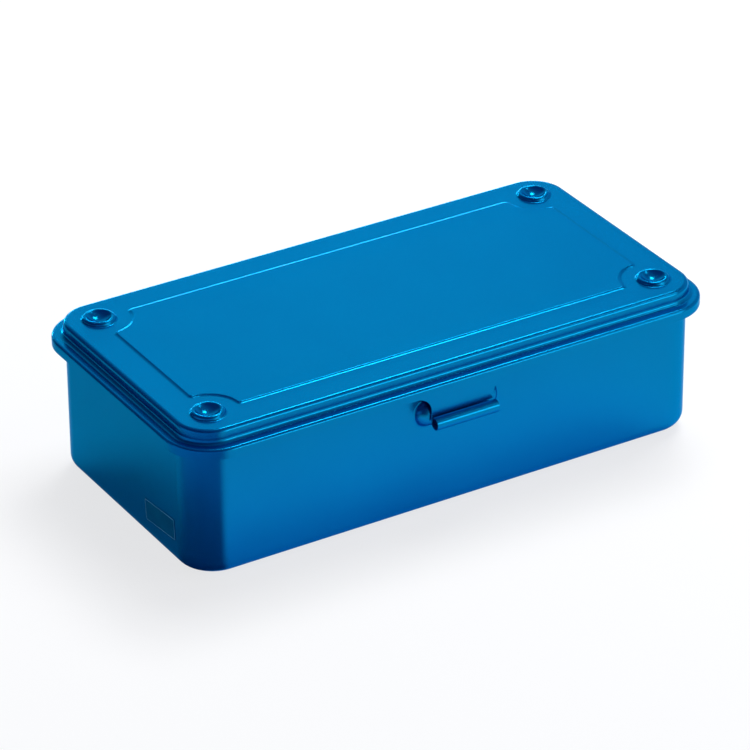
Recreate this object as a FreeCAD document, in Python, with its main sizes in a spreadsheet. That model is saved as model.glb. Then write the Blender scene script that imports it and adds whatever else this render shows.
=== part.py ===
import FreeCAD, Part
import math
import os

import Sketcher

# A small trunk-shaped storage box pressed from thin sheet steel: a deep-drawn tray with a curled
# rim, a pressed lid with a rolled spring latch in front, and two knuckle hinges behind.
# Frame: X along the box, front at -Y, +Z up, origin under the middle of the whole footprint,
# on the surface that the feet stand on.

doc = FreeCAD.newDocument("StorageBox")
sheet = doc.addObject("Spreadsheet::Sheet", "Sizes")

SIZES = (
    ("steel", 0.5, "thickness of the pressed sheet"),
    # tray
    ("body_length", 194.6, "outside length of the tray wall"),
    ("body_width", 96.8, "outside width of the tray wall"),
    ("body_height", 48.8, "from the pressed bottom to the top of the rim"),
    ("body_corner", 13.1, "outside radius of the upright corners"),
    ("body_bottom_bend", 4.4, "outside radius between wall and bottom"),
    ("rim_radius", 1.4, "outside radius of the curled rim"),
    # lid
    ("lid_seat_gap", 0.1, "between the rim and the flange that rests on it"),
    ("skirt_gap_ends", 1.4, "between rim and skirt at the two ends"),
    ("skirt_gap_sides", 1.88, "between rim and skirt, front and back"),
    ("skirt_height", 3.55, "from the flange's top to the skirt's lower edge"),
    ("skirt_corner", 16.8, "outside radius of the skirt's upright corners"),
    ("skirt_bend", 1.15, "outside radius between flange and skirt"),
    ("flange_ends", 4.2, "from the skirt's face to the raised top at the ends"),
    ("flange_sides", 4.41, "from the skirt's face to the raised top, front and back"),
    ("flange_root", 1.55, "radius in the corner between flange and raised top"),
    ("top_rise", 4.84, "from the flange up to the raised top"),
    ("top_corner", 11.9, "outside radius of the raised top's upright corners"),
    ("top_bend", 1.55, "outside radius along the raised top's edge"),
    # central panel of the lid
    ("panel_margin_ends", 11.8, "from the raised top's end to the panel"),
    ("panel_margin_sides", 12.07, "from the raised top's side to the panel"),
    ("panel_rise", 0.4, "step up to the panel, on a slope of 45 degrees"),
    ("panel_cut", 11.4, "radius of the arc that cuts each corner of the panel"),
    # stacking dimples in the lid, and the feet that sit in them
    ("dimple_radius", 4.7, "radius of the dimple's crest ring"),
    ("dimple_crest", 1.25, "height of the crest above the raised top"),
    ("dimple_depth", 0.75, "depth of the bowl below the raised top"),
    ("crest_bend", 0.95, "outside bend radius over the crest"),
    ("crest_root", 0.7, "bend radius at the foot of the crest"),
    ("stack_gap", 0.1, "between the crest and a tray that stands on it"),
    ("foot_bend", 1.2, "bend radius round the foot's end"),
    ("foot_root", 1.5, "bend radius where the foot leaves the bottom"),
    # latch tongue and the catch pressed into the tray behind it
    ("tongue_width", 23.6, "width of the latch tongue and its roll"),
    ("tongue_flare", 5.5, "radius that widens the tongue into the skirt"),
    ("tongue_drop", 9.45, "from the skirt's edge down to the middle of the roll"),
    ("tongue_lean", 0.1, "how far the tongue leans inward over that drop"),
    ("roll_radius", 2.2, "outside radius of the rolled finger grip"),
    ("roll_turn", 300.0, "degrees that the roll turns"),
    ("catch_length", 31.7, "length of the pressed catch"),
    ("catch_height", 9.5, "height of the pressed catch"),
    ("catch_drop", 8.35, "from the skirt's edge down to the middle of the catch"),
    ("catch_gap", 0.4, "between the catch and the tongue"),
    ("catch_root", 0.8, "radius where the catch leaves the wall"),
    # hinges
    ("hinge_spread", 110.0, "between the middles of the two hinges"),
    ("hinge_width", 24.0, "width of each hinge"),
    ("hinge_drop", 2.25, "from the skirt's edge down to the hinge axis"),
    ("leaf_thickness", 0.7, "thickness of the hinge leaves"),
    ("leaf_corner", 2.0, "radius of the body leaf's lower corners"),
    ("leaf_height", 11.0, "from the hinge axis down to the body leaf's lower edge"),
    ("knuckle_length", 9.0, "length of the lid leaf's knuckle"),
    ("knuckle_gap", 0.2, "end play between knuckles"),
    ("knuckle_relief", 0.25, "round clearance where a leaf is notched for the other's knuckle"),
    ("pin_radius", 1.0, "radius of the hinge pin"),
    ("pin_clearance", 0.05, "radial running clearance of the pin"),
    ("pin_play", 0.05, "end play between the pin's heads and the knuckles"),
    ("pin_head_radius", 1.55, "radius of the pin's peened ends"),
    ("pin_head_length", 0.5, "length of each peened end"),
    ("open_angle", 110.0, "degrees from closed to the stop"),
    ("stop_reach", 0.9, "how far the stop tab reaches past the hinge axis"),
    ("stop_gap", 0.1, "between stop tab and lid leaf when fully open"),
    ("weld_radius", 1.6, "radius of a spot weld's mark"),
    ("weld_depth", 0.15, "depth of a spot weld's mark"),
    # label
    ("label_length", 20.0, "length of the label on the left end"),
    ("label_height", 8.0, "height of the label"),
    ("label_thickness", 0.1, "thickness of the printed film"),
    ("label_corner", 0.8, "radius of the label's corners"),
    ("label_middle", 24.0, "from the box's middle plane to the label's middle"),
    ("label_rise", 12.0, "from the pressed bottom up to the label's middle"),
    ("label_tilt", 4.8, "degrees that the label was stuck on askew"),
    # tool overrun
    ("overrun", 1.0, "how far a cut runs past what it cuts"),
)


TINY = 1e-6
FULL_TURN = 360


class Size:
    """A length as the sheet's expression for it, with its present value beside it."""

    def __init__(self, text, value):
        self.text = text
        self.value = value

    def join(self, sign, other, value):
        return Size(f"({self.text} {sign} {other.text})", value)

    def __add__(self, other):
        other = as_size(other)
        return self.join("+", other, self.value + other.value)

    def __radd__(self, other):
        return as_size(other) + self

    def __sub__(self, other):
        other = as_size(other)
        return self.join("-", other, self.value - other.value)

    def __rsub__(self, other):
        return as_size(other) - self

    def __mul__(self, other):
        other = as_size(other)
        return self.join("*", other, self.value * other.value)

    def __rmul__(self, other):
        return as_size(other) * self

    def __truediv__(self, other):
        other = as_size(other)
        return self.join("/", other, self.value / other.value)

    def __neg__(self):
        return Size(f"(0 - {self.text})", -self.value)


def as_size(value):
    return value if isinstance(value, Size) else Size(repr(value), value)


def root(size):
    return Size(f"sqrt({size.text})", math.sqrt(size.value))


def cosine(degrees):
    return Size(f"cos({degrees.text} * 1 deg)", math.cos(math.radians(degrees.value)))


def sine(degrees):
    return Size(f"sin({degrees.text} * 1 deg)", math.sin(math.radians(degrees.value)))


class Sheet:
    """Every named size, read back from the sheet."""


size = Sheet()
for row, (name, value, meaning) in enumerate(SIZES, start=1):
    sheet.set(f"A{row}", name)
    sheet.set(f"B{row}", str(value))
    sheet.setAlias(f"B{row}", name)
    sheet.set(f"C{row}", meaning)
doc.recompute()
for name, _, _ in SIZES:
    setattr(size, name, Size(f"Sizes.{name}", float(sheet.get(name))))


def plane(body, role):
    return next(item for item in body.Origin.OriginFeatures if item.Role == role)


def sketch_on(body, name, role, across=None, up=None, out=None):
    """A sketch on an origin plane of its body, moved along the plane's own axes."""
    sketch = body.newObject("Sketcher::SketchObject", name)
    sketch.AttachmentSupport = (plane(body, role), "")
    sketch.MapMode = "FlatFace"
    for axis, shift in (("x", across), ("y", up), ("z", out)):
        if shift is not None:
            sketch.setExpression(f"AttachmentOffset.Base.{axis}", shift.text)
    return sketch


def arc_through(start, end, radius):
    """The arc from start to end, with its middle to the left for a positive radius."""
    (x1, y1), (x2, y2) = start, end
    chord = math.hypot(x2 - x1, y2 - y1)
    reach = math.sqrt(max(radius**2 - chord**2 / 4, 0)) * math.copysign(1, radius)
    middle_x = (x1 + x2) / 2 - reach * (y2 - y1) / chord
    middle_y = (y1 + y2) / 2 + reach * (x2 - x1) / chord
    turn = math.atan2(y1 - middle_y, x1 - middle_x), math.atan2(y2 - middle_y, x2 - middle_x)
    circle = Part.Circle(FreeCAD.Vector(middle_x, middle_y, 0), FreeCAD.Vector(0, 0, 1), abs(radius))
    first, last = turn if radius > 0 else turn[::-1]
    return Part.ArcOfCircle(circle, first, last)


def bind(sketch, kind, where, value):
    """One dimension of a sketch, bound to the sheet."""
    if abs(value.value) < TINY:
        axis = -2 if kind == "DistanceX" else -1
        sketch.addConstraint(Sketcher.Constraint("PointOnObject", *where[2:], axis))
        return
    index = sketch.addConstraint(Sketcher.Constraint(kind, *where, value.value))
    sketch.setExpression(f"Constraints[{index}]", value.text)


def outline(sketch, points, closed=True):
    """Lines and arcs through the points. A point's third entry is the radius of the arc that
    leaves it, positive where the arc's middle is to the left. Arcs are under a half circle."""
    points = [tuple(as_size(entry) for entry in point) for point in points]
    count = len(points)
    for index in range(count if closed else count - 1):
        here, there = points[index], points[(index + 1) % count]
        start = here[0].value, here[1].value
        end = there[0].value, there[1].value
        if len(here) == 3:
            sketch.addGeometry(arc_through(start, end, here[2].value), False)
        else:
            ends = FreeCAD.Vector(*start, 0), FreeCAD.Vector(*end, 0)
            sketch.addGeometry(Part.LineSegment(*ends), False)

    def tips(index):
        point = points[index]
        return (2, 1) if len(point) == 3 and point[2].value < 0 else (1, 2)

    edges = sketch.GeometryCount
    for index in range(edges):
        after = (index + 1) % count
        if after < edges and (closed or after):
            joint = Sketcher.Constraint("Coincident", index, tips(index)[1], after, tips(after)[0])
            sketch.addConstraint(joint)
        bind(sketch, "DistanceX", (-1, 1, index, tips(index)[0]), points[index][0])
        bind(sketch, "DistanceY", (-1, 1, index, tips(index)[0]), points[index][1])
        if len(points[index]) == 3:
            radius = points[index][2]
            bend = radius if radius.value > 0 else -radius
            number = sketch.addConstraint(Sketcher.Constraint("Radius", index, bend.value))
            sketch.setExpression(f"Constraints[{number}]", bend.text)
    if not closed:
        last = edges - 1
        bind(sketch, "DistanceX", (-1, 1, last, tips(last)[1]), points[-1][0])
        bind(sketch, "DistanceY", (-1, 1, last, tips(last)[1]), points[-1][1])
    return sketch


def rounded_plan(half_length, half_width, radius):
    """A rounded rectangle, anticlockwise, that starts in the middle of its right side."""
    inner_x = half_length - radius
    inner_y = half_width - radius
    return (
        (half_length, 0),
        (half_length, inner_y, radius),
        (inner_x, half_width),
        (-inner_x, half_width, radius),
        (-half_length, inner_y),
        (-half_length, -inner_y, radius),
        (-inner_x, -half_width),
        (inner_x, -half_width, radius),
        (half_length, -inner_y),
    )


def pad(body, name, profile, length, **settings):
    feature = body.newObject("PartDesign::Pad", name)
    return raised(feature, profile, length, settings)


def pocket(body, name, profile, length, **settings):
    feature = body.newObject("PartDesign::Pocket", name)
    return raised(feature, profile, length, settings)


def raised(feature, profile, length, settings):
    feature.Profile = profile
    feature.setExpression("Length", length.text)
    for setting, value in settings.items():
        setattr(feature, setting, value)
    doc.recompute()
    return feature


def fillet(body, name, base, radius, wanted):
    """Rounds the edges of the last feature that the test picks out."""
    names = [f"Edge{i}" for i, edge in enumerate(base.Shape.Edges, start=1) if wanted(edge)]
    feature = body.newObject("PartDesign::Fillet", name)
    feature.Base = (base, names)
    feature.setExpression("Radius", radius.text)
    doc.recompute()
    return feature


def shell(body, name, base, opening_height):
    """Hollows the body to the sheet's thickness, open at the flat face at that height."""
    flat = [
        f"Face{i}"
        for i, face in enumerate(base.Shape.Faces, start=1)
        if abs(face.CenterOfMass.z - opening_height) < TINY and abs(face.normalAt(0, 0).z) > 1 - TINY
    ]
    feature = body.newObject("PartDesign::Thickness", name)
    feature.Base = (base, flat)
    feature.setExpression("Value", size.steel.text)
    feature.Reversed = True
    doc.recompute()
    return feature


def circle(sketch, radius):
    """A circle about the sketch's own origin."""
    ring = Part.Circle(FreeCAD.Vector(0, 0, 0), FreeCAD.Vector(0, 0, 1), radius.value)
    index = sketch.addGeometry(ring, False)
    sketch.addConstraint(Sketcher.Constraint("Coincident", index, 3, -1, 1))
    number = sketch.addConstraint(Sketcher.Constraint("Radius", index, radius.value))
    sketch.setExpression(f"Constraints[{number}]", radius.text)
    return sketch


def rectangle(sketch, low, high):
    return outline(sketch, (low, (high[0], low[1]), high, (low[0], high[1])))


def revolve(body, kind, name, profile, axis):
    feature = body.newObject(f"PartDesign::{kind}", name)
    feature.Profile = profile
    feature.ReferenceAxis = (profile, [axis])
    feature.Angle = FULL_TURN
    doc.recompute()
    return feature


def mirrored(body, name, originals, role):
    feature = body.newObject("PartDesign::Mirrored", name)
    feature.Originals = originals
    feature.MirrorPlane = (plane(body, role), [""])
    body.Tip = feature
    doc.recompute()
    return feature


def in_four_corners(body, name, originals):
    """Repeats features at the four corners by two mirrors."""
    feature = body.newObject("PartDesign::MultiTransform", name)
    mirrors = []
    for role in ("YZ_Plane", "XZ_Plane"):
        mirror = doc.addObject("PartDesign::Mirrored", name + role[:2])
        body.addObject(mirror)
        mirror.MirrorPlane = (plane(body, role), [""])
        mirrors.append(mirror)
    feature.Originals = originals
    feature.Transformations = mirrors
    body.Tip = feature
    doc.recompute()
    return feature


def new_body(label, middle_x=None, middle_y=None, middle_z=None):
    """A body in the box's own middle plane, unless another place is given."""
    body = doc.addObject("PartDesign::Body", label)
    body.Label = label
    place = (middle_x, box_middle if middle_y is None else middle_y, middle_z)
    for axis, value in zip("xyz", place):
        if value is not None:
            body.setExpression(f"Placement.Base.{axis}", value.text)
    return body


# What the pieces share, worked out from the sheet.

steel = size.steel

# A dimple's bowl is part of a sphere that meets the bend over the crest. A foot that stands in it
# rests with its end bend on the sphere, so it stops above the bowl's lowest point.
bowl_drop = size.dimple_crest + size.dimple_depth
inner_bends = (size.dimple_radius * size.dimple_radius + bowl_drop * bowl_drop) / (bowl_drop * 2)
bowl_bend = inner_bends - size.crest_bend
foot_share = 0.42
foot_radius = size.dimple_radius * foot_share
nested = bowl_bend - size.foot_bend
foot_seat = nested - root(nested * nested - foot_radius * foot_radius)
foot_height = bowl_drop - foot_seat + size.stack_gap

wall_x = size.body_length / 2
wall_y = size.body_width / 2
rim_reach = size.rim_radius * 2 - steel
rim_top = foot_height + size.body_height
curl_z = rim_top - size.rim_radius

skirt_x = wall_x + rim_reach + size.skirt_gap_ends + steel
skirt_y = wall_y + rim_reach + size.skirt_gap_sides + steel
flange_z = rim_top + size.lid_seat_gap + steel
skirt_z = flange_z - size.skirt_height
top_x = skirt_x - size.flange_ends
top_y = skirt_y - size.flange_sides
top_z = flange_z + size.top_rise
panel_x = top_x - size.panel_margin_ends
panel_y = top_y - size.panel_margin_sides

# The tongue's own axes: down is the way that it hangs, back is square to it.
slope = root(size.tongue_lean * size.tongue_lean + size.tongue_drop * size.tongue_drop)
down = (size.tongue_lean / slope, -size.tongue_drop / slope)
back = (-down[1], down[0])
inner_roll = size.roll_radius - steel
tongue_run = (size.tongue_drop - size.roll_radius * back[1]) / back[0]
roll = (steel / back[0] + tongue_run * down[0] - size.roll_radius * back[0], -size.tongue_drop)
roll_front = size.roll_radius - roll[0]
box_middle = roll_front / 2

hinge_gap = (skirt_y - steel - wall_y) / 2
hinge_y = wall_y + hinge_gap
hinge_z = skirt_z - size.hinge_drop
knuckle_radius = size.pin_radius + size.pin_clearance + size.leaf_thickness
relief_radius = hinge_gap + size.knuckle_relief


# Tray: one deep-drawn sheet, with the rim curled outward over a full three quarters of a turn.

tray = new_body("box_body")
plan = outline(
    sketch_on(tray, "TrayPlan", "XY_Plane", out=foot_height),
    rounded_plan(wall_x, wall_y, size.body_corner),
)
block = pad(tray, "TrayBlock", plan, curl_z - foot_height)
drawn = fillet(
    tray,
    "BottomBend",
    block,
    size.body_bottom_bend,
    lambda edge: edge.BoundBox.ZMax < foot_height.value + TINY,
)
hollow = shell(tray, "TraySheet", drawn, curl_z.value)

rim_path = outline(
    sketch_on(tray, "RimPath", "XY_Plane", out=curl_z),
    rounded_plan(wall_x, wall_y, size.body_corner),
)
curl_middle = size.rim_radius - steel
inner_curl = curl_middle
rim_section = outline(
    sketch_on(tray, "RimSection", "XZ_Plane", across=wall_x, up=curl_z),
    (
        (-steel, 0, -size.rim_radius),
        (curl_middle, size.rim_radius, -size.rim_radius),
        (curl_middle + size.rim_radius, 0, -size.rim_radius),
        (curl_middle, -size.rim_radius),
        (curl_middle, -inner_curl, inner_curl),
        (curl_middle + inner_curl, 0, inner_curl),
        (curl_middle, inner_curl, inner_curl),
        (0, 0),
    ),
)
rim = tray.newObject("PartDesign::AdditivePipe", "Rim")
rim.Profile = rim_section
rim.Spine = (rim_path, [f"Edge{number}" for number in range(1, rim_path.GeometryCount + 1)])
doc.recompute()

# The catch is a bead pressed outward from the front wall, for the tongue to snap over.
catch_z = skirt_z - size.catch_drop
catch_lean = size.tongue_lean * size.catch_drop / size.tongue_drop
catch_depth = skirt_y - steel - catch_lean - size.catch_gap - wall_y
catch_half = size.catch_height / 2
catch_radius = (catch_half * catch_half + catch_depth * catch_depth) / (catch_depth * 2)
catch_middle = catch_radius - catch_depth
catch_end = size.catch_length / 2 - catch_half
recess_radius = catch_radius - steel
recess_half = root(recess_radius * recess_radius - (catch_middle - steel) * (catch_middle - steel))


def catch_sketch(name, out=None):
    return sketch_on(tray, name, "YZ_Plane", across=-wall_y, up=catch_z, out=out)


def bead(kind, name, radius, half, base, inside):
    """The bead's middle as a straight run and its ends as half rounds, to the same section."""
    crest = catch_middle - radius
    straight = outline(
        catch_sketch(name + "Section"),
        (
            (inside, -half),
            (base, -half, -radius),
            (crest, 0, -radius),
            (base, half),
            (inside, half),
        ),
    )
    run = pad if kind == "Revolution" else pocket
    features = [run(tray, name, straight, catch_end * 2, Midplane=True)]
    for side, end in (("Right", catch_end), ("Left", -catch_end)):
        turned = outline(
            catch_sketch(name + side + "Section", out=end),
            ((inside, 0), (crest, 0, -radius), (base, half), (inside, half)),
        )
        features.append(revolve(tray, kind, name + side, turned, "H_Axis"))
    return features[-1]


catch = bead("Revolution", "Catch", catch_radius, catch_half, as_size(0), steel)
catch_foot = fillet(
    tray,
    "CatchRoot",
    catch,
    size.catch_root,
    lambda edge: abs(edge.BoundBox.YMin + wall_y.value) < TINY
    and abs(edge.BoundBox.YMax + wall_y.value) < TINY
    and edge.BoundBox.ZMin > catch_z.value - catch_half.value - TINY
    and edge.BoundBox.ZMax < catch_z.value + catch_half.value + TINY
    and edge.BoundBox.XMax < size.catch_length.value,
)
bead("Groove", "CatchRecess", recess_radius, recess_half, steel, steel + size.overrun)


def formed(body, name, hole_radius, sheet_top, section):
    """A round form pressed into flat sheet: the flat sheet is cut away over it, and the formed
    sheet, turned about its own middle, fills the hole. It is repeated at the four corners."""
    cutter = circle(
        sketch_on(body, name + "Cut", "XY_Plane", panel_x, panel_y, sheet_top + size.overrun),
        hole_radius,
    )
    hole = pocket(body, name + "Hole", cutter, steel + size.overrun * 2)
    profile = outline(
        sketch_on(body, name + "Section", "XZ_Plane", panel_x, sheet_top - steel, -panel_y),
        section,
    )
    turned = revolve(body, "Revolution", name, profile, "V_Axis")
    return in_four_corners(body, name + "Pattern", [hole, turned])


# The feet are flat-ended, and stand in the dimples of a lid below.
foot_bends = size.foot_bend + size.foot_root
foot_cosine = 1 - foot_height / foot_bends
foot_sine = root(1 - foot_cosine * foot_cosine)
foot_edge = foot_radius + foot_bends * foot_sine


def foot_surface(bend, level):
    """Where one face of the foot's sheet turns from its end bend into its root bend."""
    return (foot_radius + bend * foot_sine, level + bend * (1 - foot_cosine))


foot_inner_bend = size.foot_bend - steel
formed(
    tray,
    "Foot",
    foot_edge,
    foot_height + steel,
    (
        (0, -foot_height),
        (foot_radius, -foot_height, size.foot_bend),
        (*foot_surface(size.foot_bend, -foot_height), -size.foot_root),
        (foot_edge, 0),
        (foot_edge, steel, size.foot_root + steel),
        (*foot_surface(foot_inner_bend, steel - foot_height), -foot_inner_bend),
        (foot_radius, steel - foot_height),
        (0, steel - foot_height),
    ),
)


# Lid: one pressed sheet with a flat flange, a skirt, a raised top, a panel and four dimples.

lid = new_body("lid")
skirt_plan = outline(
    sketch_on(lid, "SkirtPlan", "XY_Plane", out=skirt_z),
    rounded_plan(skirt_x, skirt_y, size.skirt_corner),
)
pad(lid, "SkirtBlock", skirt_plan, size.skirt_height)
top_plan = outline(
    sketch_on(lid, "TopPlan", "XY_Plane", out=flange_z),
    rounded_plan(top_x, top_y, size.top_corner),
)
top_block = pad(lid, "TopBlock", top_plan, size.top_rise)


def level(edge, height):
    box = edge.BoundBox
    return abs(box.ZMin - height.value) < TINY and abs(box.ZMax - height.value) < TINY


def on_raised_top(edge):
    middle = edge.valueAt((edge.FirstParameter + edge.LastParameter) / 2)
    return abs(middle.x) < top_x.value + TINY and abs(middle.y) < top_y.value + TINY


top_edge = fillet(lid, "TopBend", top_block, size.top_bend, lambda edge: level(edge, top_z))
flange_edge = fillet(
    lid,
    "SkirtBend",
    top_edge,
    size.skirt_bend,
    lambda edge: level(edge, flange_z) and not on_raised_top(edge),
)
flange_corner = fillet(
    lid,
    "FlangeRoot",
    flange_edge,
    size.flange_root,
    lambda edge: level(edge, flange_z) and on_raised_top(edge),
)
shell(lid, "LidSheet", flange_corner, skirt_z.value)


def panel_plan(inset):
    """The panel's outline, drawn in by an inset: each corner is cut by an arc about the dimple."""
    arc = size.panel_cut + inset
    side_x = panel_x - inset
    side_y = panel_y - inset
    run = root(arc * arc - inset * inset)
    end_x = panel_x - run
    end_y = panel_y - run
    return (
        (side_x, -end_y),
        (side_x, end_y, -arc),
        (end_x, side_y),
        (-end_x, side_y, -arc),
        (-side_x, end_y),
        (-side_x, -end_y, -arc),
        (-end_x, -side_y),
        (end_x, -side_y, -arc),
    )


def panel_step(kind, name, inset, height):
    """One face of the step, sloping inward at 45 degrees."""
    lower = outline(sketch_on(lid, name + "Lower", "XY_Plane", out=height), panel_plan(inset))
    upper_height = height + size.panel_rise
    upper_plan = panel_plan(inset + size.panel_rise)
    upper = outline(sketch_on(lid, name + "Upper", "XY_Plane", out=upper_height), upper_plan)
    feature = lid.newObject(f"PartDesign::{kind}", name)
    feature.Profile = lower
    feature.Sections = [upper]
    feature.Ruled = True
    doc.recompute()
    return feature


panel_step("AdditiveLoft", "PanelTop", as_size(0), top_z)
panel_step("SubtractiveLoft", "PanelUnderside", steel * (root(as_size(2)) - 1), top_z - steel)

outer_bends = size.crest_bend + size.crest_root
outer_cosine = 1 - size.dimple_crest / outer_bends
outer_sine = root(1 - outer_cosine * outer_cosine)
inner_cosine = 1 - bowl_drop / inner_bends
inner_sine = size.dimple_radius / inner_bends
dimple_edge = size.dimple_radius + outer_bends * outer_sine


def crest_point(bend, side):
    """Where the crest's bend ends, on its inner side (-1) or its outer side (1)."""
    sine_here, cosine_here = (inner_sine, inner_cosine) if side < 0 else (outer_sine, outer_cosine)
    middle = size.dimple_crest - size.crest_bend
    return (size.dimple_radius + bend * sine_here * side, steel + middle + bend * cosine_here)


under_crest = size.crest_bend - steel
formed(
    lid,
    "Dimple",
    dimple_edge,
    top_z,
    (
        (0, -size.dimple_depth, bowl_bend + steel),
        (*crest_point(under_crest, -1), -under_crest),
        (*crest_point(under_crest, 1), size.crest_root + steel),
        (dimple_edge, 0),
        (dimple_edge, steel, -size.crest_root),
        (*crest_point(size.crest_bend, 1), size.crest_bend),
        (*crest_point(size.crest_bend, -1), -bowl_bend),
        (0, steel - size.dimple_depth),
    ),
)


# Latch tongue: a strip in one plane with the skirt's face, which hangs from the skirt's lower
# edge, leans inward and ends in an open roll to lift it by. It springs over the catch.

tongue = new_body("latch_tongue")
tongue_half = size.tongue_width / 2
flare_share = 0.8
wing = size.tongue_flare * flare_share
wing_left = size.tongue_flare - wing
wing_height = root(size.tongue_flare * size.tongue_flare - wing_left * wing_left)


def on_roll(radius, thirds):
    """A point of the roll, after so many thirds of its turn, from the back of the tongue."""
    turned = size.roll_turn * thirds / 3
    across = radius * cosine(turned)
    along = radius * sine(turned)
    return (
        roll[0] + across * back[0] + along * down[0],
        roll[1] + across * back[1] + along * down[1],
    )


strip = outline(
    sketch_on(tongue, "TongueSection", "YZ_Plane", across=-skirt_y, up=skirt_z),
    (
        (0, 0),
        (*on_roll(inner_roll, 0), -inner_roll),
        (*on_roll(inner_roll, 1), -inner_roll),
        (*on_roll(inner_roll, 2), -inner_roll),
        on_roll(inner_roll, 3),
        (*on_roll(size.roll_radius, 3), size.roll_radius),
        (*on_roll(size.roll_radius, 2), size.roll_radius),
        (*on_roll(size.roll_radius, 1), size.roll_radius),
        on_roll(size.roll_radius, 0),
        (steel / back[0], 0),
    ),
)
pad(tongue, "TongueStrip", strip, (tongue_half + wing) * 2, Midplane=True)
below_roll = -size.tongue_drop - size.roll_radius - size.overrun
past_wing = tongue_half + wing + size.overrun
wing_bottom = wing_height - size.tongue_flare
trim = outline(
    sketch_on(
        tongue, "FlareTrim", "XZ_Plane", up=skirt_z, out=skirt_y + roll_front + size.overrun
    ),
    (
        (tongue_half, -size.tongue_flare, -size.tongue_flare),
        (tongue_half + wing, wing_bottom),
        (past_wing, wing_bottom),
        (past_wing, below_roll),
        (tongue_half, below_roll),
    ),
)
trim_depth = roll_front + size.tongue_lean + steel * 2 + size.overrun * 2
flare = pocket(tongue, "Flare", trim, trim_depth)
mirrored(tongue, "FlareBothSides", [flare], "YZ_Plane")


# Hinges: on each, the tray's leaf has the two outer knuckles and a stop tab, and the lid's leaf
# has the middle knuckle. A pin with peened ends joins them. The leaves are spot-welded.


def knuckle(body, name, length):
    ring = circle(sketch_on(body, name + "Ring", "YZ_Plane"), knuckle_radius)
    return pad(body, name, ring, length, Midplane=True)


def bore(body):
    ring = circle(sketch_on(body, "BoreRing", "YZ_Plane"), size.pin_radius + size.pin_clearance)
    return pocket(body, "Bore", ring, size.hinge_width + size.overrun * 2, Midplane=True)


def tray_leaf(body):
    plate = rectangle(
        sketch_on(body, "PlateSection", "YZ_Plane"),
        (-hinge_gap, -size.leaf_height),
        (size.leaf_thickness - hinge_gap, 0),
    )
    block = pad(body, "Plate", plate, size.hinge_width, Midplane=True)
    fillet(
        body,
        "PlateCorners",
        block,
        size.leaf_corner,
        lambda edge: edge.BoundBox.ZMax < TINY - size.leaf_height.value
        and edge.BoundBox.XLength < TINY,
    )
    knuckle(body, "Knuckles", size.hinge_width)
    notch = circle(sketch_on(body, "NotchRing", "YZ_Plane"), relief_radius)
    notch_length = size.knuckle_length + size.knuckle_gap * 2
    pocket(body, "Notch", notch, notch_length, Midplane=True)
    stop_top = -(
        (hinge_gap + size.stop_gap - size.stop_reach * cosine(size.open_angle))
        / sine(size.open_angle)
    )
    stop = rectangle(
        sketch_on(body, "StopSection", "YZ_Plane"),
        (-hinge_gap, stop_top - size.leaf_thickness),
        (size.stop_reach, stop_top),
    )
    pad(body, "StopTab", stop, size.knuckle_length, Midplane=True)
    bore(body)
    weld_out = hinge_gap - size.leaf_thickness
    weld = circle(
        sketch_on(
            body,
            "WeldRing",
            "XZ_Plane",
            across=size.hinge_width / 4,
            up=(stop_top - size.leaf_thickness - size.leaf_height) / 2,
            out=weld_out,
        ),
        size.weld_radius,
    )
    mark = pocket(body, "WeldMark", weld, size.weld_depth, Reversed=True)
    mirrored(body, "WeldMarks", [mark], "YZ_Plane")


def lid_leaf(body):
    leaf_top = flange_z - steel - (size.skirt_bend - steel) - hinge_z
    plate = rectangle(
        sketch_on(body, "PlateSection", "YZ_Plane"),
        (hinge_gap - size.leaf_thickness, 0),
        (hinge_gap, leaf_top),
    )
    pad(body, "Plate", plate, size.hinge_width, Midplane=True)
    knuckle(body, "Knuckle", size.knuckle_length)
    ring_out = size.hinge_width / 2 + size.overrun
    notch = circle(sketch_on(body, "NotchRing", "YZ_Plane", out=ring_out), relief_radius)
    cut = pocket(body, "Notch", notch, ring_out - size.knuckle_length / 2)
    mirrored(body, "Notches", [cut], "YZ_Plane")
    bore(body)


def pin(body):
    end = size.hinge_width / 2 + size.pin_play
    head_curve = (
        size.pin_head_radius * size.pin_head_radius + size.pin_head_length * size.pin_head_length
    ) / (size.pin_head_length * 2)
    profile = outline(
        sketch_on(body, "PinSection", "XY_Plane"),
        (
            (-end - size.pin_head_length, 0),
            (end + size.pin_head_length, 0, head_curve),
            (end, size.pin_head_radius),
            (end, size.pin_radius),
            (-end, size.pin_radius),
            (-end, size.pin_head_radius, head_curve),
        ),
    )
    revolve(body, "Revolution", "Pin", profile, "H_Axis")


for side, middle_x in (("left", -size.hinge_spread / 2), ("right", size.hinge_spread / 2)):
    for piece, make in (("body_leaf", tray_leaf), ("lid_leaf", lid_leaf), ("pin", pin)):
        make(new_body(f"hinge_{side}_{piece}", middle_x, box_middle + hinge_y, hinge_z))


# Label: a thin printed film stuck on the left end, a little askew.

label = new_body("label", -wall_x, box_middle - size.label_middle, foot_height + size.label_rise)
half_long = size.label_length / 2
half_high = size.label_height / 2
film = outline(
    sketch_on(label, "LabelPlan", "YZ_Plane"), rounded_plan(half_long, half_high, size.label_corner)
)
pad(label, "LabelFilm", film, size.label_thickness, Reversed=True)
label.Placement.Rotation = FreeCAD.Rotation(FreeCAD.Vector(-1, 0, 0), size.label_tilt.value)
doc.recompute()


# Every piece is checked before any is written.

failed = [item.Name for item in doc.Objects if {"Invalid", "Error"} & set(item.State)]
if failed:
    raise RuntimeError(f"these objects did not build: {failed}")
pieces = [item for item in doc.Objects if item.TypeId == "PartDesign::Body"]
for piece in pieces:
    if piece.Shape.isNull() or not piece.Shape.isValid():
        raise RuntimeError(f"{piece.Label} has no valid shape")
    if len(piece.Shape.Solids) != 1:
        raise RuntimeError(f"{piece.Label} is not one solid")

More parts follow.
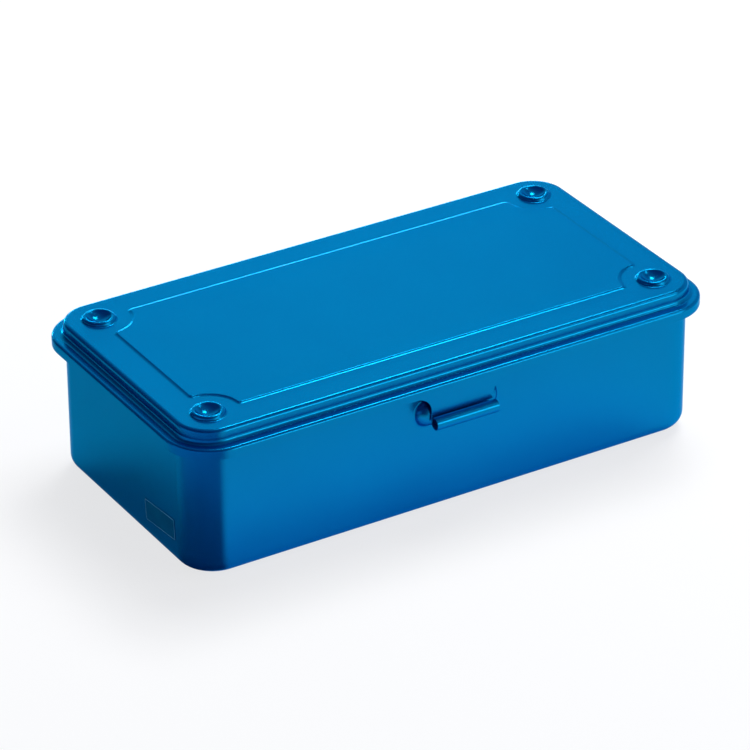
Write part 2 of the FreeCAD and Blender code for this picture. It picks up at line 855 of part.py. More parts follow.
os.makedirs("parts", exist_ok=True)
for piece in pieces:
    piece.Shape.exportStep(f"parts/{piece.Label}.step")
    print(piece.Label, round(piece.Shape.Volume, 1), "mm3")
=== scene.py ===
import math

import bmesh
import bpy
import numpy as np
from mathutils import Matrix, Vector, geometry


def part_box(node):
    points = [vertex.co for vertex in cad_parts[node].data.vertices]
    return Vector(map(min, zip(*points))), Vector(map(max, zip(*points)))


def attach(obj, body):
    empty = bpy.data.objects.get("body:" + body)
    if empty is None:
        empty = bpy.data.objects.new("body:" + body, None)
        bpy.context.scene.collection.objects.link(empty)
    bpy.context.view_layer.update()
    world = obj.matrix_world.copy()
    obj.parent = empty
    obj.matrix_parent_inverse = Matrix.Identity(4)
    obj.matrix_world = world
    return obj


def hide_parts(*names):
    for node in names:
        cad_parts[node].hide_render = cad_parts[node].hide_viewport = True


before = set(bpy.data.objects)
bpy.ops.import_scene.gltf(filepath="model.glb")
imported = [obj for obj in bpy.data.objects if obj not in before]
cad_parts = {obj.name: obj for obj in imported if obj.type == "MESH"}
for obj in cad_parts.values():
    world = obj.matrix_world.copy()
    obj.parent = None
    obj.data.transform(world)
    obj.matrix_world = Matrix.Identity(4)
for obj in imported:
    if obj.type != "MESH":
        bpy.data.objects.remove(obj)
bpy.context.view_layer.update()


# Tray: one blank of thin steel, deep-drawn with round corners, its rim curled outward to stiffen
# it. The catch for the latch is pressed out of the front wall and four feet out of the bottom.
# Like the lid it is lacquered all over, inside too, in a glossy metallic blue.

MM = 0.001
steel = 0.5
cut_edge = 0.14

tray_low, tray_high = (np.array(corner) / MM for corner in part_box("box_body"))
lid_low, lid_high = (np.array(corner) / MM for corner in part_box("lid"))
middle_y = (lid_low[1] + lid_high[1]) / 2

rim_radius = 1.4
rim_reach = rim_radius * 2 - steel
rim_turn = 268
wall_x = tray_high[0] - rim_reach
wall_y = tray_high[1] - middle_y - rim_reach
curl_z = tray_high[2] - rim_radius
tray_corner = 13.1
bottom_bend = 4.4
pressed_height = 48.8
bottom_z = tray_high[2] - pressed_height


def arc(middle, radius, start, end, count):
    """Points along an arc in a section, with the outward way from its middle. Angles in degrees
    from the first axis towards the second."""
    turns = np.radians(np.linspace(start, end, count + 1))
    ways = np.stack((np.cos(turns), np.sin(turns)), axis=1)
    return [(middle + radius * way, way) for way in ways]


class Plan:
    """A rounded rectangle seen from above: for each place round it, a point of the rectangle
    that joins the corners' middles and the way outward from there."""

    def __init__(self, half_x, half_y, radius, side_steps=(84, 36), corner_steps=22):
        core = np.array((half_x - radius, half_y - radius))
        inner, ways = [], []
        for quarter in range(4):
            start = math.radians(90 * quarter - 90)
            side_from = np.array(((-1, -1), (1, -1), (1, 1), (-1, 1))[quarter]) * core
            side_to = np.array(((1, -1), (1, 1), (-1, 1), (-1, -1))[quarter]) * core
            steps = side_steps[quarter % 2]
            facing = (math.cos(start), math.sin(start))
            for step in range(steps + 1):
                inner.append(side_from + (side_to - side_from) * step / steps)
                ways.append(facing)
            for step in range(1, corner_steps):
                turn = start + math.radians(90) * step / corner_steps
                inner.append(side_to)
                ways.append((math.cos(turn), math.sin(turn)))
            if quarter == 0:
                self.front = range(steps + 1)
        self.inner = np.array(inner)
        self.ways = np.array(ways)


class Shell:
    """Sheet metal, made as its outer face, point by point with the way that each one faces, and
    then given its thickness."""

    def __init__(self):
        self.points = []
        self.facing = []
        self.faces = []

    def add(self, points, facing):
        first = len(self.points)
        self.points.extend(np.asarray(points, float))
        self.facing.extend(np.asarray(facing, float))
        return list(range(first, len(self.points)))

    def join(self, row, next_row, closed=True):
        """One strip of faces between two rows of points."""
        for here in range(len(row) - (0 if closed else 1)):
            after = (here + 1) % len(row)
            self.faces.append((row[here], row[after], next_row[after], next_row[here]))

    def swept(self, plan, section, far_plan=None):
        """Carries a section round a plan. Each entry of the section has its distance out from the
        plan's inner rectangle and its height, the way it faces, and how far it has gone over to
        the second plan."""
        rows = []
        for (out, height), (way_out, way_up), share in section:
            inner, ways = plan.inner, plan.ways
            if share:
                inner = inner + (far_plan.inner - inner) * share
            flat = inner + ways * out
            points = np.column_stack((flat, np.full(len(flat), height)))
            facing = np.column_stack((ways * way_out, np.full(len(flat), way_up)))
            rows.append(self.add(points + (0, middle_y, 0), facing))
        for row, next_row in zip(rows, rows[1:]):
            self.join(row, next_row)
        return rows

    def fill(self, loops, facing, spacing):
        """Flat sheet inside the first loop of points and outside the others, with points of its
        own on a grid so that no face is long and thin."""
        facing = np.array(facing, float)
        across = [axis for axis in range(3) if not facing[axis]]
        level = self.points[loops[0][0]] * np.abs(facing)
        rims = [np.array([self.points[i] for i in loop])[:, across] for loop in loops]
        low, high = rims[0].min(0), rims[0].max(0)
        counts = np.maximum(np.round((high - low) / spacing).astype(int), 2)
        lines = [np.linspace(low[k], high[k], counts[k] + 1)[1:-1] for k in (0, 1)]
        grid = np.stack(np.meshgrid(*lines), axis=-1).reshape(-1, 2)
        edge = np.concatenate(rims)
        near = np.array([np.hypot(*(edge - spot).T).min() for spot in grid])
        margin = spacing * 0.6
        grid = grid[(near > margin) & self.between(rims, grid)]
        numbers = [i for loop in loops for i in loop]
        if len(grid):
            points = np.zeros((len(grid), 3)) + level
            points[:, across] = grid
            numbers += self.add(points, np.tile(facing, (len(grid), 1)))
        flat = np.concatenate((edge, grid))
        edges, first = [], 0
        for rim in rims:
            edges += [(first + i, first + (i + 1) % len(rim)) for i in range(len(rim))]
            first += len(rim)
        made = geometry.delaunay_2d_cdt([Vector(p) for p in flat], edges, [], 1, 1e-6)
        if len(made[0]) != len(flat):
            raise RuntimeError("two points of a flat stretch coincide")
        origin = [found[0] for found in made[3]]
        triangles = np.array(made[2])
        centres = np.array([tuple(p) for p in made[0]])[triangles].mean(1)
        for triangle in triangles[self.between(rims, centres)]:
            self.faces.append(tuple(numbers[origin[i]] for i in triangle))

    @staticmethod
    def between(rims, spots):
        """Which spots lie inside the first rim and outside the others."""
        crossings = np.zeros(len(spots), int)
        for rim in rims:
            for (x1, y1), (x2, y2) in zip(rim, np.roll(rim, -1, axis=0)):
                if y1 != y2:
                    spans = (spots[:, 1] < y1) != (spots[:, 1] < y2)
                    reach = x1 + (spots[:, 1] - y1) * (x2 - x1) / (y2 - y1)
                    crossings += spans & (spots[:, 0] < reach)
        return crossings % 2 == 1

    @staticmethod
    def turned(faces, points, facing):
        """Each face's points in the order that makes it face its own way."""
        done = []
        for face in faces:
            corners = points[list(face)]
            way = np.cross(corners[1] - corners[0], corners[2] - corners[0])
            if len(face) == 4:
                way = way + np.cross(corners[2] - corners[0], corners[3] - corners[0])
            done.append(face if way @ facing[list(face)].sum(0) > 0 else face[::-1])
        return done

    def piece(self, name, material, thickness=steel, edge_at=lambda point: cut_edge):
        """Adds the inner face, rounds the cut edges and makes the mesh, in the CAD's place."""
        outer = np.array(self.points)
        facing = np.array(self.facing)
        facing /= np.linalg.norm(facing, axis=1)[:, None]
        faces = self.turned(self.faces, outer, facing)
        count = len(outer)
        inner = outer - facing * thickness
        points = [outer, inner]
        ways = [facing, -facing]
        faces += [tuple(i + count for i in reversed(face)) for face in faces]

        open_edges = {}
        for face in faces[: len(faces) // 2]:
            for a, b in zip(face, face[1:] + face[:1]):
                if not open_edges.pop((b, a), False):
                    open_edges[a, b] = True
        outward = {}
        for a, b in open_edges:
            side = np.cross(outer[b] - outer[a], facing[a] + facing[b])
            for i in (a, b):
                outward[i] = outward.get(i, 0) + side / np.linalg.norm(side)
        steps = 5
        rounds = {}
        first = count * 2
        for i, side in outward.items():
            side = side / np.linalg.norm(side)
            depth = edge_at(outer[i])
            middle = (outer[i] + inner[i]) / 2
            turns = np.pi * np.arange(1, steps) / steps
            cos, sin = np.cos(turns)[:, None], np.sin(turns)[:, None]
            points.append(middle + facing[i] * cos * thickness / 2 + side * sin * depth)
            way = facing[i] * cos * depth + side * sin * thickness / 2
            ways.append(way / np.linalg.norm(way, axis=1)[:, None])
            rounds[i] = [i, *range(first, first + steps - 1), i + count]
            first += steps - 1
        for a, b in open_edges:
            for step in range(steps):
                ends = rounds[a][step : step + 2], rounds[b][step : step + 2]
                faces.append((ends[0][0], ends[0][1], ends[1][1], ends[1][0]))

        mesh = bpy.data.meshes.new(name)
        mesh.from_pydata(np.concatenate(points) * MM, [], faces)
        mesh.validate()
        for polygon in mesh.polygons:
            polygon.use_smooth = True
        mesh.normals_split_custom_set_from_vertices(np.concatenate(ways))
        mesh.materials.append(material)
        made = bpy.data.objects.new(name, mesh)
        bpy.context.scene.collection.objects.link(made)
        return made


class Wire:
    """One value on its way through a material. Sums on it add Math nodes."""

    def __init__(self, tree, socket=None):
        self.tree = tree
        self.socket = socket

    def node(self, kind, settings=None, inputs=None, output=0):
        """Adds a node: first its settings, then the values and links of its sockets."""
        made = self.tree.nodes.new(kind)
        for name, value in (settings or {}).items():
            if name == "stops":
                ramp = made.color_ramp
                while len(ramp.elements) < len(value):
                    ramp.elements.new(1)
                for element, (position, colour) in zip(ramp.elements, value):
                    element.position = position
                    element.color = (*colour, 1)
            else:
                setattr(made, name, value)
        for name, value in (inputs or {}).items():
            if isinstance(value, Wire):
                self.tree.links.new(value.socket, made.inputs[name])
            else:
                made.inputs[name].default_value = value
        return Wire(self.tree, made.outputs[output]) if made.outputs else None

    def maths(self, operation, first, second):
        return self.node("ShaderNodeMath", {"operation": operation}, {0: first, 1: second})

    def __add__(self, other):
        return self.maths("ADD", self, other)

    def __sub__(self, other):
        return self.maths("SUBTRACT", self, other)

    def __rsub__(self, other):
        return self.maths("SUBTRACT", other, self)

    def __mul__(self, other):
        return self.maths("MULTIPLY", self, other)

    __radd__ = __add__
    __rmul__ = __mul__


def new_material(name):
    """An empty node material and the wire that its nodes start from."""
    material = bpy.data.materials.new(name)
    material.use_nodes = True
    material.node_tree.nodes.clear()
    return material, Wire(material.node_tree)


def finish_material(start, inputs, under=None, share=0.0):
    """Ends a material in one shader, or in a mix of it with a share of the one under it."""
    shader = start.node("ShaderNodeBsdfPrincipled", None, inputs)
    if under:
        below = start.node("ShaderNodeBsdfPrincipled", None, under)
        shader = start.node("ShaderNodeMixShader", None, {0: share, 1: shader, 2: below})
    start.node("ShaderNodeOutputMaterial", None, {"Surface": shader})


def noise(start, place, scale, detail=2.0):
    return start.node(
        "ShaderNodeTexNoise", None, {"Vector": place, "Scale": scale, "Detail": detail}
    )


def blue_lacquer():
    """Transparent blue over bright metal flake, baked glossy."""
    material, start = new_material("blue_lacquer")
    place = start.node("ShaderNodeTexCoord", output=3)
    flake = noise(start, place, 5200.0, 1.0)
    cloud = noise(start, place, 38.0, 3.0)
    peel = noise(start, place, 620.0, 1.0)
    shade = (flake - 0.5) * 0.5 + (cloud - 0.5) * 0.3 + 0.5
    colour = start.node(
        "ShaderNodeValToRGB",
        {"stops": ((0.2, (0.0015, 0.212, 0.41)), (0.8, (0.0015, 0.262, 0.49)))},
        {"Fac": shade},
    )
    bump = start.node(
        "ShaderNodeBump", None, {"Strength": 0.06, "Distance": 0.0002, "Height": peel}
    )
    finish_material(
        start,
        {
            "Base Color": colour,
            "Metallic": 1.0,
            "Roughness": (cloud - 0.5) * 0.06 + (flake - 0.5) * 0.06 + 0.24,
            "Normal": bump,
            "Specular Tint": (0.4, 0.75, 0.95, 1),
            "Coat Weight": 0.02,
            "Coat Roughness": 0.03,
        },
        {
            "Base Color": (0.0, 0.07, 0.38, 1),
            "Roughness": 0.6,
            "Specular IOR Level": 0.0,
            "Normal": bump,
        },
        0.25,
    )
    return material


lacquer = blue_lacquer()

tray_plan = Plan(wall_x, wall_y, tray_corner)
bend_middle = np.array((tray_corner - bottom_bend, bottom_z + bottom_bend))
curl_middle = np.array((tray_corner + rim_radius - steel, curl_z))
curl_inside = rim_radius - steel
up = np.array((0.0, 0.0, 1.0))
front = np.array((0.0, -1.0, 0.0))


def inward(section):
    """The same points of a section, facing the middle of their arc."""
    return [(point, -way) for point, way in section]


def blended(high, low, crown, foot):
    """The section of a round form that rises from the sheet: a crown of one radius and a foot of
    another that is tangent to both. The crown's middle is on the form's own middle line."""
    middle = np.array((0.0, high - crown))
    reach = math.sqrt((crown + foot) ** 2 - (foot + crown - high) ** 2)
    foot_middle = np.array((reach, low + foot))
    turn = math.degrees(math.atan2(foot_middle[1] - middle[1], reach))
    return [
        *inward(arc(foot_middle, foot, -90, turn - 180, 6)),
        *arc(middle, crown, turn, 90, 16)[1:-1],
    ]


def ring_about(spot, count=64):
    """Places round one point, from above."""
    turns = np.arange(count) * 2 * math.pi / count
    return [(np.array(spot), np.array((math.cos(turn), math.sin(turn), 0.0))) for turn in turns]


def round_form(shell, ring, section, height_way):
    """A pressed form: one section, outermost point first, carried round a ring of places."""
    rows = []
    for (out, height), (way_out, way_up) in section:
        points = [spot + way * out + height_way * height for spot, way in ring]
        facing = [way * way_out + height_way * way_up for spot, way in ring]
        rows.append(shell.add(points, facing))
    for row, next_row in zip(rows, rows[1:]):
        shell.join(row, next_row)
    return rows


tray = Shell()
bend_rows = tray.swept(
    tray_plan, [(*entry, 0) for entry in arc(bend_middle, bottom_bend, -90, 0, 12)]
)
rim_rows = tray.swept(
    tray_plan,
    [(*entry, 0) for entry in inward(arc(curl_middle, curl_inside, 180, 180 - rim_turn, 18))],
)

catch_length = 31.7
catch_half = 4.75
catch_end = catch_length / 2 - catch_half
catch_below_lid = 8.35
catch_z = lid_low[2] - catch_below_lid
catch_depth = middle_y - tray_low[1] - wall_y
catch_foot = 0.8
catch_crown = (catch_half**2 + catch_depth**2) / (catch_depth * 2)
half_turn = np.radians(np.linspace(-90, 90, 25))
catch_ring = [
    (
        np.array((side * catch_end, middle_y - wall_y, catch_z)),
        np.array((side * math.cos(turn), 0.0, side * math.sin(turn))),
    )
    for side in (1, -1)
    for turn in half_turn
]
catch_rows = round_form(
    tray, catch_ring, blended(catch_depth, 0, catch_crown, catch_foot), front
)
tray.fill([catch_rows[-1]], front, spacing=3.0)

front_run = list(tray_plan.front)
lower, upper = bend_rows[-1], rim_rows[0]
for here in range(len(lower)):
    after = (here + 1) % len(lower)
    if not (here in front_run and after in front_run):
        tray.faces.append((lower[here], lower[after], upper[after], upper[here]))
front_loop = [lower[i] for i in front_run] + [upper[i] for i in reversed(front_run)]
tray.fill([front_loop, catch_rows[0]], front, spacing=4.0)

feet_x, feet_y = 85.5, 36.6
foot_flat = 1.974
foot_bend, foot_root = 1.2, 1.5
foot_tilt = math.degrees(math.acos(1 - bottom_z / (foot_bend + foot_root)))
foot_edge = foot_flat + (foot_bend + foot_root) * math.sin(math.radians(foot_tilt))
foot_section = [
    *inward(arc(np.array((foot_edge, foot_root)), foot_root, -90, -90 - foot_tilt, 8)),
    *arc(np.array((foot_flat, bottom_z - foot_bend)), foot_bend, 90 - foot_tilt, 90, 8)[1:],
]
foot_rows = []
for foot_x in (-feet_x, feet_x):
    for foot_y in (-feet_y, feet_y):
        spot = (foot_x, middle_y + foot_y, bottom_z)
        rows = round_form(tray, ring_about(spot, 48), foot_section, -up)
        tray.fill([rows[-1]], -up, spacing=1.0)
        foot_rows.append(rows[0])
tray.fill([bend_rows[0], *foot_rows], -up, spacing=4.0)

tray_piece = tray.piece("tray", lacquer)
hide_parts("box_body")
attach(tray_piece, "box")


# Hinges: two knuckle hinges behind, stamped from thicker strip, spot-welded on and lacquered with
# the box. Each has a leaf on the tray with two knuckles and a stop tab, and one on the lid with a
# knuckle. The pin through them is bare zinc-plated wire, peened at both ends.


def zinc_plating():
    """Dull bright zinc on drawn wire, with fine lines along it and a faint bloom."""
    material, start = new_material("zinc_plating")
    place = start.node("ShaderNodeTexCoord", output=3)
    drawn = start.node("ShaderNodeMapping", None, {"Vector": place, "Scale": (0.04, 1, 1)})
    lines = noise(start, drawn, 9000.0, 2.0)
    bloom = noise(start, place, 420.0, 3.0)
    colour = start.node(
        "ShaderNodeValToRGB",
        {"stops": ((0.3, (0.50, 0.51, 0.53)), (0.7, (0.66, 0.66, 0.66)))},
        {"Fac": bloom * 0.6 + lines * 0.4},
    )
    bump = start.node(
        "ShaderNodeBump", None, {"Strength": 0.25, "Distance": 0.00005, "Height": lines}
    )
    finish_material(
        start,
        {
            "Base Color": colour,
            "Metallic": 1.0,
            "Roughness": bloom * 0.25 + 0.2,
            "Normal": bump,
        },
    )
    return material


def softened(node, name, width):
    """A copy of a CAD piece with its sharp edges rounded over, as tumbling leaves them."""
    shape = bmesh.new()
    shape.from_mesh(node.data)
    bmesh.ops.remove_doubles(shape, verts=shape.verts, dist=1e-7)
    bmesh.ops.dissolve_limit(
        shape, angle_limit=math.radians(0.5), verts=shape.verts, edges=shape.edges
    )
    sharp = [edge for edge in shape.edges if edge.calc_face_angle(0) > math.radians(35)]
    bmesh.ops.bevel(
        shape,
        geom=sharp,
        offset=width * MM,
        offset_type="OFFSET",
        segments=3,
        profile=0.5,
        affect="EDGES",
        clamp_overlap=True,
        harden_normals=False,
    )
    mesh = bpy.data.meshes.new(name)
    shape.to_mesh(mesh)
    shape.free()
    mesh.shade_smooth()
    piece = bpy.data.objects.new(name, mesh)
    bpy.context.scene.collection.objects.link(piece)
    modifier = piece.modifiers.new("even_shading", "WEIGHTED_NORMAL")
    modifier.keep_sharp = False
    return piece


hinge_edge = 0.12
zinc = zinc_plating()
for side in ("left", "right"):
    for leaf, body in (("body_leaf", "box"), ("lid_leaf", "lid"), ("pin", "box")):
        name = f"hinge_{side}_{leaf}"
        piece = softened(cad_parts[name], f"{side}_hinge_{leaf}", hinge_edge)
        piece.data.materials.append(zinc if leaf == "pin" else lacquer)
        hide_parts(name)
        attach(piece, body)


# Lid: one pressed sheet. A skirt hangs round the rim of the tray, and inside it are a flat
# flange, a raised top with a shallow panel, and a ringed dimple in each corner, in which the feet
# of another box stand.

skirt_x, skirt_y = lid_high[0], lid_high[1] - middle_y
skirt_z = lid_low[2]
skirt_corner = 16.8
skirt_bend = 1.15
skirt_depth = 3.55
flange_z = skirt_z + skirt_depth
flange_root = 1.55
flange_at_end, flange_at_side = 4.2, 4.41
top_x, top_y = skirt_x - flange_at_end, skirt_y - flange_at_side
top_corner = 11.9
top_bend = 1.55
top_rise = 4.84
top_z = flange_z + top_rise

tongue_half = 11.8
tongue_flare = 5.5
wing_share = 0.8
wing = tongue_flare * wing_share


def skirt_edge(point):
    """The skirt's edge is cut and rounded, except where the latch tongue goes on from it."""
    beside = abs(point[0]) - tongue_half - wing
    at_front = point[1] < middle_y - skirt_y + steel
    return cut_edge * min(max(beside, 0), 1) if at_front else cut_edge


skirt_plan = Plan(skirt_x, skirt_y, skirt_corner)
top_plan = Plan(top_x, top_y, top_corner)
skirt_bend_middle = np.array((skirt_corner - skirt_bend, flange_z - skirt_bend))
root_middle = np.array((top_corner + flange_root, flange_z + flange_root))
top_bend_middle = np.array((top_corner - top_bend, top_z - top_bend))

lid = Shell()
sideways = np.array((1.0, 0.0))
skirt_rows = lid.swept(
    skirt_plan,
    [
        (np.array((skirt_corner, skirt_z + cut_edge)), sideways, 0),
        *((*entry, 0) for entry in arc(skirt_bend_middle, skirt_bend, 0, 90, 10)),
        *((*entry, 1) for entry in inward(arc(root_middle, flange_root, -90, -180, 8))),
        *((*entry, 1) for entry in arc(top_bend_middle, top_bend, 0, 90, 10)),
    ],
    top_plan,
)
for i in skirt_rows[0]:
    lid.points[i][2] = skirt_z + skirt_edge(lid.points[i])

panel_x, panel_y = feet_x, feet_y
panel_cut = 11.4
panel_rise = 0.4
panel_steepest = 32
panel_round = 1.0


def panel_places():
    """Places round the panel's edge, each with its way outward. Every corner is cut by an arc
    about the dimple, and small arcs round that off into the sides."""
    reach = math.sqrt((panel_cut + panel_round) ** 2 - panel_round**2)
    tip = math.degrees(math.atan2(panel_round, reach))
    corner = np.array((panel_x, panel_y))
    quarter = [
        *arc(corner - (panel_round, reach), panel_round, 0, 90 - tip, 6),
        *inward(arc(corner, panel_cut, 270 - tip, 180 + tip, 24))[1:],
        *arc(corner - (reach, panel_round), panel_round, tip, 90, 6)[1:],
    ]
    places = []
    for sign in np.array(((1, 1), (-1, 1), (-1, -1), (1, -1))):
        turned = [(spot * sign, way * sign) for spot, way in quarter]
        places += turned if sign[0] == sign[1] else turned[::-1]
    return places


def with_sides(places, stride=3.0):
    """The same places, with more of them along the straight sides."""
    full = []
    for (spot, way), (next_spot, next_way) in zip(places, places[1:] + places[:1]):
        steps = max(1, round(np.linalg.norm(next_spot - spot) / stride))
        full += [(spot + (next_spot - spot) * step / steps, way) for step in range(steps)]
    return full


# The step up to the panel is a long hollow bend and a short crown, steepest at the panel's edge.
hollow_share = 0.73
both_bends = panel_rise / (1 - math.cos(math.radians(panel_steepest)))
hollow_bend = both_bends * hollow_share
crown_bend = both_bends - hollow_bend
steepness = math.sin(math.radians(panel_steepest))
hollow_middle = np.array((steepness * hollow_bend, hollow_bend))
crown_middle = np.array((-steepness * crown_bend, panel_rise - crown_bend))
panel_section = [
    *inward(arc(hollow_middle, hollow_bend, -90, -90 - panel_steepest, 8)),
    *arc(crown_middle, crown_bend, 90 - panel_steepest, 90, 8)[1:],
]
edge_places = with_sides(panel_places())
panel_rows = []
for (out, height), (way_out, way_up) in panel_section:
    points = [(*(spot + way * out), top_z + height) for spot, way in edge_places]
    facing = [(*(way * way_out), way_up) for spot, way in edge_places]
    panel_rows.append(lid.add(np.array(points) + (0, middle_y, 0), facing))
for row, next_row in zip(panel_rows, panel_rows[1:]):
    lid.join(row, next_row)
lid.fill([panel_rows[-1]], up, spacing=5.0)

crest_radius = 4.7
crest_high = 1.25
crest_bend = 0.95
crest_foot = 0.7
bowl_deep = 0.75
crest_middle = np.array((crest_radius, crest_high - crest_bend))
foot_reach = math.sqrt((crest_bend + crest_foot) ** 2 - (crest_bend + crest_foot - crest_high) ** 2)
foot_middle = crest_middle + (foot_reach, crest_bend + crest_foot - crest_high)
bowl_drop = crest_middle[1] + bowl_deep
bowl_bend = (crest_radius**2 + bowl_drop**2 - crest_bend**2) / (2 * (bowl_drop + crest_bend))
bowl_middle = np.array((0.0, bowl_bend - bowl_deep))


def heading(start, end):
    """The way from one point of a section to another, in degrees."""
    return math.degrees(math.atan2(end[1] - start[1], end[0] - start[0]))


foot_turn = heading(crest_middle, foot_middle)
bowl_turn = heading(crest_middle, bowl_middle)
dimple_section = [
    *inward(arc(foot_middle, crest_foot, -90, foot_turn - 180, 6)),
    *arc(crest_middle, crest_bend, foot_turn, bowl_turn, 12)[1:],
    *inward(arc(bowl_middle, bowl_bend, bowl_turn - 180, -90, 16))[1:-1],
]
dimple_rows = []
for dimple_x in (-panel_x, panel_x):
    for dimple_y in (-panel_y, panel_y):
        rows = round_form(
            lid, ring_about((dimple_x, middle_y + dimple_y, top_z)), dimple_section, up
        )
        lid.fill([rows[-1]], up, spacing=3.0)
        dimple_rows.append(rows[0])
lid.fill([skirt_rows[-1], panel_rows[0], *dimple_rows], up, spacing=4.0)

lid_piece = lid.piece("lid_sheet", lacquer, edge_at=skirt_edge)
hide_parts("lid")
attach(lid_piece, "lid")


# Latch tongue: it goes on downward from the lid's skirt, narrowing by a flare at each side, and
# its end is rolled outward for the finger that lifts it off the catch.

tongue_drop = 9.45
tongue_lean = 0.1
roll_radius = 2.2
roll_turn = 300
roll_inside = roll_radius - steel
lean = math.atan2(tongue_lean, tongue_drop)
down_way = np.array((math.sin(lean), -math.cos(lean)))
back_way = np.array((math.cos(lean), math.sin(lean)))
tongue_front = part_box("latch_tongue")[0][1] / MM
roll_middle = np.array((tongue_front + roll_radius, skirt_z - tongue_drop))

tongue = Shell()
tongue_top = np.array((middle_y - skirt_y, skirt_z))
roll_start = roll_middle + back_way * roll_inside
strip = []
for share in np.linspace(0, 1, 25) ** 1.5:
    strip.append((tongue_top + (roll_start - tongue_top) * share, -back_way))
for turn in np.radians(np.linspace(0, roll_turn, 31))[1:]:
    way = back_way * math.cos(turn) + down_way * math.sin(turn)
    strip.append((roll_middle + way * roll_inside, -way))
points_across = 15
rows = []
for (y, z), (way_y, way_z) in strip:
    below = min(skirt_z - z, tongue_flare)
    spread = tongue_flare - math.sqrt(tongue_flare**2 - (tongue_flare - below) ** 2)
    half = tongue_half + min(spread, wing)
    points = [(x, y, z) for x in np.linspace(-half, half, points_across)]
    rows.append(tongue.add(points, [(0, way_y, way_z)] * points_across))
for row, next_row in zip(rows, rows[1:]):
    tongue.join(row, next_row, closed=False)


def tongue_edge(point):
    """Rounded like every cut edge, but not where the tongue leaves the skirt."""
    return cut_edge * min(max((skirt_z - point[2]) / steel, 0), 1)


tongue_piece = tongue.piece("latch", lacquer, edge_at=tongue_edge)
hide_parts("latch_tongue")
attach(tongue_piece, "latch")


# Label: a small film of nearly the paint's own blue with a paler line round it near its edge,
# printed on its back and glossy. It is stuck low on the left end, a little askew, and is bare.

label_low, label_high = (np.array(corner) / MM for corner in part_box("label"))
label_middle = (label_low + label_high) / 2
label_length, label_height = 20.0, 8.0
label_corner = 0.8
label_tilt = math.radians(4.8)
film_thickness = 0.1
film_round = 0.06
film_shoulder = 0.07
least_corner = 0.15
line_from, line_to = 0.34, 0.5


def film_paint(name, low, high, metal, roughness):
    """Glossy printed film, a little uneven, with fine scuffs in its gloss."""
    material, start = new_material(name)
    place = start.node("ShaderNodeTexCoord", output=3)
    cloud = noise(start, place, 260.0, 3.0)
    scuffs = noise(start, place, 3100.0, 4.0)
    colour = start.node(
        "ShaderNodeValToRGB", {"stops": ((0.3, low), (0.7, high))}, {"Fac": cloud}
    )
    bump = start.node(
        "ShaderNodeBump", None, {"Strength": 0.1, "Distance": 0.00005, "Height": scuffs}
    )
    finish_material(
        start,
        {
            "Base Color": colour,
            "Metallic": metal,
            "Roughness": scuffs * 0.16 + roughness,
            "Specular Tint": (0.4, 0.75, 0.95, 1),
            "Normal": bump,
        },
    )
    return material


def label_ring(inset):
    """The label's outline drawn in by an inset, as places along and up the end wall."""
    radius = max(label_corner - inset, least_corner)
    half = np.array((label_length / 2 - inset - radius, label_height / 2 - inset - radius))
    places = []
    for start, sign in zip((0, 90, 180, 270), ((1, 1), (-1, 1), (-1, -1), (1, -1))):
        places += [spot for spot, way in arc(half * sign, radius, start, start + 90, 8)]
    return places


film_steps = (
    (0.0, 0.0),
    (0.0, film_shoulder),
    (film_round, film_thickness),
    (line_from, film_thickness),
    (line_to, film_thickness),
)
film_points = []
for inset, lift in film_steps:
    for along, rise in label_ring(inset):
        y = along * math.cos(label_tilt) + rise * math.sin(label_tilt)
        z = rise * math.cos(label_tilt) - along * math.sin(label_tilt)
        spot = (label_high[0] - lift, label_middle[1] + y, label_middle[2] + z)
        film_points.append(np.array(spot) * MM)
ring_size = len(label_ring(0.0))
film_faces = []
for ring in range(len(film_steps) - 1):
    for here in range(ring_size):
        after = (here + 1) % ring_size
        first, second = ring * ring_size, (ring + 1) * ring_size
        film_faces.append((first + here, first + after, second + after, second + here))
last_ring = (len(film_steps) - 1) * ring_size
film_faces.append(tuple(range(last_ring, last_ring + ring_size)))
film_faces.append(tuple(reversed(range(ring_size))))
film_mesh = bpy.data.meshes.new("label_film")
film_mesh.from_pydata(film_points, [], film_faces)
film_mesh.materials.append(
    film_paint("label_film", (0.001, 0.15, 0.31), (0.003, 0.19, 0.37), 0.95, 0.14)
)
film_mesh.materials.append(
    film_paint("label_line", (0.16, 0.42, 0.7), (0.24, 0.5, 0.78), 0.3, 0.25)
)
for polygon in film_mesh.polygons:
    on_line = ring_size * 3 <= polygon.index < ring_size * 4
    polygon.material_index = 1 if on_line else 0
film = bmesh.new()
film.from_mesh(film_mesh)
bmesh.ops.recalc_face_normals(film, faces=film.faces)
film.to_mesh(film_mesh)
film.free()
film_piece = bpy.data.objects.new("end_label", film_mesh)
bpy.context.scene.collection.objects.link(film_piece)
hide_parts("label")
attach(film_piece, "box")


# Studio: a pale floor with the box's soft shadow, soft lamps and the camera at the photograph's
# angle. Only reflections see the floor's painted tints: a painted shade left of the end wall and a
# painted deep blue reflection just before the front wall.


def eased(start, value, low, high, begin, end):
    """Goes smoothly from one level to another while a value crosses a range."""
    return start.node(
        "ShaderNodeMapRange",
        {"interpolation_type": "SMOOTHSTEP"},
        {"Value": value, "From Min": low, "From Max": high, "To Min": begin, "To Max": end},
    )


def mixed(start, share, first, second):
    """One colour gone over to another by a share."""
    return start.node(
        "ShaderNodeMix", {"data_type": "RGBA"}, {0: share, 6: first, 7: second}, 2
    )


